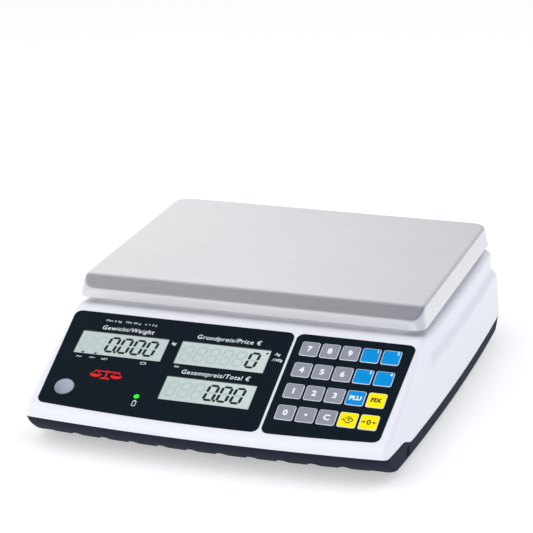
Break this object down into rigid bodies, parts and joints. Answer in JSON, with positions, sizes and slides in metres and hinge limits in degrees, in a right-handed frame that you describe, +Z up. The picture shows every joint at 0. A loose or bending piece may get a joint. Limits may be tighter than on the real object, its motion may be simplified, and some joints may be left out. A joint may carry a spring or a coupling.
{
  "type": "retail price scale",
  "caption": "Counter-top price-computing scale with a lift-off steel pan on a load cell, sloping panel with three displays and sprung keys, and screw-adjusted feet.",
  "frame": {"origin": "middle of the footprint, on the surface that the feet rest on", "axes": "+X to the user's right, +Y away from the user towards the customer, +Z up"},
  "size_m": [0.321, 0.354, 0.106],
  "materials": {
    "stainless_pan": "brushed",
    "pad_rubber": "matt",
    "cast_aluminium": "cast",
    "screw_steel": "zinc plated",
    "machined_aluminium": "machined",
    "cover_white": "fine satin",
    "base_navy": "fine texture",
    "overlay_black": "printed film",
    "board_green": "solder mask",
    "lcd_glass": "glass",
    "level_grey": "satin",
    "led_green": "lit",
    "battery_case": "matt",
    "strap_steel": "plain",
    "rocker_black": "matt",
    "rear_window_film": "printed film",
    "key_grey": "printed film",
    "key_blue": "printed film",
    "key_yellow": "printed film",
    "foot_rubber": "matt"
  },
  "bodies": {
    "housing": {"load_cell": "machined_aluminium", "load_cell_spacer": "machined_aluminium", "load_cell_screws": "screw_steel", "overload_stop_screw": "screw_steel", "overload_stop_nut": "screw_steel", "top_cover": "cover_white", "base_tray": "base_navy", "case_screws": "screw_steel", "display_overlay": "overlay_black", "keypad_overlay": "overlay_black", "keypad_circuit": "board_green", "weight_lcd": "lcd_glass", "price_lcd": "lcd_glass", "total_lcd": "lcd_glass", "display_board": "board_green", "level_vial": "level_grey", "charge_led": "led_green", "main_board": "board_green", "battery": "battery_case", "battery_strap": "strap_steel", "power_switch_body": "rocker_black", "power_inlet": "rocker_black", "rear_window": "rear_window_film", "rear_lcds": "lcd_glass", "rear_board": "board_green"},
    "load_platform": {"pan_spider": "cast_aluminium", "spider_screws": "screw_steel", "spider_pads": "pad_rubber"},
    "pan": {"weighing_pan": "stainless_pan"},
    "battery_door": {"battery_door": "base_navy"},
    "power_rocker": {"power_rocker": "rocker_black"},
    "key_7": {"key_7": "key_grey"},
    "key_8": {"key_8": "key_grey"},
    "key_9": {"key_9": "key_grey"},
    "key_preset_1": {"key_preset_1": "key_blue"},
    "key_preset_2": {"key_preset_2": "key_blue"},
    "key_4": {"key_4": "key_grey"},
    "key_5": {"key_5": "key_grey"},
    "key_6": {"key_6": "key_grey"},
    "key_preset_3": {"key_preset_3": "key_blue"},
    "key_preset_4": {"key_preset_4": "key_blue"},
    "key_1": {"key_1": "key_grey"},
    "key_2": {"key_2": "key_grey"},
    "key_3": {"key_3": "key_grey"},
    "key_lookup": {"key_lookup": "key_blue"},
    "key_fix": {"key_fix": "key_yellow"},
    "key_0": {"key_0": "key_grey"},
    "key_point": {"key_point": "key_grey"},
    "key_clear": {"key_clear": "key_grey"},
    "key_tare": {"key_tare": "key_yellow"},
    "key_zero": {"key_zero": "key_yellow"},
    "foot_pad_fl": {"foot_pad_fl": "foot_rubber"},
    "foot_screw_fl": {"foot_screw_fl": "screw_steel"},
    "foot_pad_fr": {"foot_pad_fr": "foot_rubber"},
    "foot_screw_fr": {"foot_screw_fr": "screw_steel"},
    "foot_pad_bl": {"foot_pad_bl": "foot_rubber"},
    "foot_screw_bl": {"foot_screw_bl": "screw_steel"},
    "foot_pad_br": {"foot_pad_br": "foot_rubber"},
    "foot_screw_br": {"foot_screw_br": "screw_steel"}
  },
  "joints": [
    {"name": "platform_sink", "type": "slide", "parent": "housing", "child": "load_platform", "axis": [0, 0, -1], "range_m": [0, 0.0005], "stiffness_N_per_m": 120000, "springref_m": -0.0003, "deforming": ["load_cell"]},
    {"name": "pan_lift_off", "type": "slide", "parent": "load_platform", "child": "pan", "axis": [0, 0, 1], "range_m": [0, 0.06]},
    {"name": "battery_door_slide", "type": "slide", "parent": "housing", "child": "battery_door", "axis": [0, -1, 0], "range_m": [0, 0.012]},
    {"name": "power_rocker_tilt", "type": "hinge", "parent": "housing", "child": "power_rocker", "pos_m": [0.112, 0.1708, 0.04], "axis": [-1, 0, 0], "range_deg": [0, 14]},
    {"name": "key_7_press", "type": "slide", "parent": "housing", "child": "key_7", "axis": [0, 0.4107, -0.9118], "range_m": [0, 0.0005], "stiffness_N_per_m": 3000, "springref_m": -0.0002},
    {"name": "key_8_press", "type": "slide", "parent": "housing", "child": "key_8", "axis": [0, 0.4107, -0.9118], "range_m": [0, 0.0005], "stiffness_N_per_m": 3000, "springref_m": -0.0002},
    {"name": "key_9_press", "type": "slide", "parent": "housing", "child": "key_9", "axis": [0, 0.4107, -0.9118], "range_m": [0, 0.0005], "stiffness_N_per_m": 3000, "springref_m": -0.0002},
    {"name": "key_preset_1_press", "type": "slide", "parent": "housing", "child": "key_preset_1", "axis": [0, 0.4107, -0.9118], "range_m": [0, 0.0005], "stiffness_N_per_m": 3000, "springref_m": -0.0002},
    {"name": "key_preset_2_press", "type": "slide", "parent": "housing", "child": "key_preset_2", "axis": [0, 0.4107, -0.9118], "range_m": [0, 0.0005], "stiffness_N_per_m": 3000, "springref_m": -0.0002},
    {"name": "key_4_press", "type": "slide", "parent": "housing", "child": "key_4", "axis": [0, 0.4107, -0.9118], "range_m": [0, 0.0005], "stiffness_N_per_m": 3000, "springref_m": -0.0002},
    {"name": "key_5_press", "type": "slide", "parent": "housing", "child": "key_5", "axis": [0, 0.4107, -0.9118], "range_m": [0, 0.0005], "stiffness_N_per_m": 3000, "springref_m": -0.0002},
    {"name": "key_6_press", "type": "slide", "parent": "housing", "child": "key_6", "axis": [0, 0.4107, -0.9118], "range_m": [0, 0.0005], "stiffness_N_per_m": 3000, "springref_m": -0.0002},
    {"name": "key_preset_3_press", "type": "slide", "parent": "housing", "child": "key_preset_3", "axis": [0, 0.4107, -0.9118], "range_m": [0, 0.0005], "stiffness_N_per_m": 3000, "springref_m": -0.0002},
    {"name": "key_preset_4_press", "type": "slide", "parent": "housing", "child": "key_preset_4", "axis": [0, 0.4107, -0.9118], "range_m": [0, 0.0005], "stiffness_N_per_m": 3000, "springref_m": -0.0002},
    {"name": "key_1_press", "type": "slide", "parent": "housing", "child": "key_1", "axis": [0, 0.4107, -0.9118], "range_m": [0, 0.0005], "stiffness_N_per_m": 3000, "springref_m": -0.0002},
    {"name": "key_2_press", "type": "slide", "parent": "housing", "child": "key_2", "axis": [0, 0.4107, -0.9118], "range_m": [0, 0.0005], "stiffness_N_per_m": 3000, "springref_m": -0.0002},
    {"name": "key_3_press", "type": "slide", "parent": "housing", "child": "key_3", "axis": [0, 0.4107, -0.9118], "range_m": [0, 0.0005], "stiffness_N_per_m": 3000, "springref_m": -0.0002},
    {"name": "key_lookup_press", "type": "slide", "parent": "housing", "child": "key_lookup", "axis": [0, 0.4107, -0.9118], "range_m": [0, 0.0005], "stiffness_N_per_m": 3000, "springref_m": -0.0002},
    {"name": "key_fix_press", "type": "slide", "parent": "housing", "child": "key_fix", "axis": [0, 0.4107, -0.9118], "range_m": [0, 0.0005], "stiffness_N_per_m": 3000, "springref_m": -0.0002},
    {"name": "key_0_press", "type": "slide", "parent": "housing", "child": "key_0", "axis": [0, 0.4107, -0.9118], "range_m": [0, 0.0005], "stiffness_N_per_m": 3000, "springref_m": -0.0002},
    {"name": "key_point_press", "type": "slide", "parent": "housing", "child": "key_point", "axis": [0, 0.4107, -0.9118], "range_m": [0, 0.0005], "stiffness_N_per_m": 3000, "springref_m": -0.0002},
    {"name": "key_clear_press", "type": "slide", "parent": "housing", "child": "key_clear", "axis": [0, 0.4107, -0.9118], "range_m": [0, 0.0005], "stiffness_N_per_m": 3000, "springref_m": -0.0002},
    {"name": "key_tare_press", "type": "slide", "parent": "housing", "child": "key_tare", "axis": [0, 0.4107, -0.9118], "range_m": [0, 0.0005], "stiffness_N_per_m": 3000, "springref_m": -0.0002},
    {"name": "key_zero_press", "type": "slide", "parent": "housing", "child": "key_zero", "axis": [0, 0.4107, -0.9118], "range_m": [0, 0.0005], "stiffness_N_per_m": 3000, "springref_m": -0.0002},
    {"name": "foot_height_fl", "type": "slide", "parent": "housing", "child": "foot_pad_fl", "axis": [0, 0, -1], "range_m": [0, 0.006]},
    {"name": "foot_turn_fl", "type": "hinge", "parent": "foot_pad_fl", "child": "foot_screw_fl", "pos_m": [-0.128, -0.118, 0.003], "axis": [0, 0, -1], "range_deg": [0, 2161]},
    {"name": "foot_height_fr", "type": "slide", "parent": "housing", "child": "foot_pad_fr", "axis": [0, 0, -1], "range_m": [0, 0.006]},
    {"name": "foot_turn_fr", "type": "hinge", "parent": "foot_pad_fr", "child": "foot_screw_fr", "pos_m": [0.128, -0.118, 0.003], "axis": [0, 0, -1], "range_deg": [0, 2161]},
    {"name": "foot_height_bl", "type": "slide", "parent": "housing", "child": "foot_pad_bl", "axis": [0, 0, -1], "range_m": [0, 0.006]},
    {"name": "foot_turn_bl", "type": "hinge", "parent": "foot_pad_bl", "child": "foot_screw_bl", "pos_m": [-0.128, 0.142, 0.003], "axis": [0, 0, -1], "range_deg": [0, 2161]},
    {"name": "foot_height_br", "type": "slide", "parent": "housing", "child": "foot_pad_br", "axis": [0, 0, -1], "range_m": [0, 0.006]},
    {"name": "foot_turn_br", "type": "hinge", "parent": "foot_pad_br", "child": "foot_screw_br", "pos_m": [0.128, 0.142, 0.003], "axis": [0, 0, -1], "range_deg": [0, 2161]}
  ],
  "couplings": [
    {"joint": "foot_turn_fl", "follows": "foot_height_fl", "rad_per_m": 6283.2},
    {"joint": "foot_turn_fr", "follows": "foot_height_fr", "rad_per_m": 6283.2},
    {"joint": "foot_turn_bl", "follows": "foot_height_bl", "rad_per_m": 6283.2},
    {"joint": "foot_turn_br", "follows": "foot_height_br", "rad_per_m": 6283.2}
  ]
}
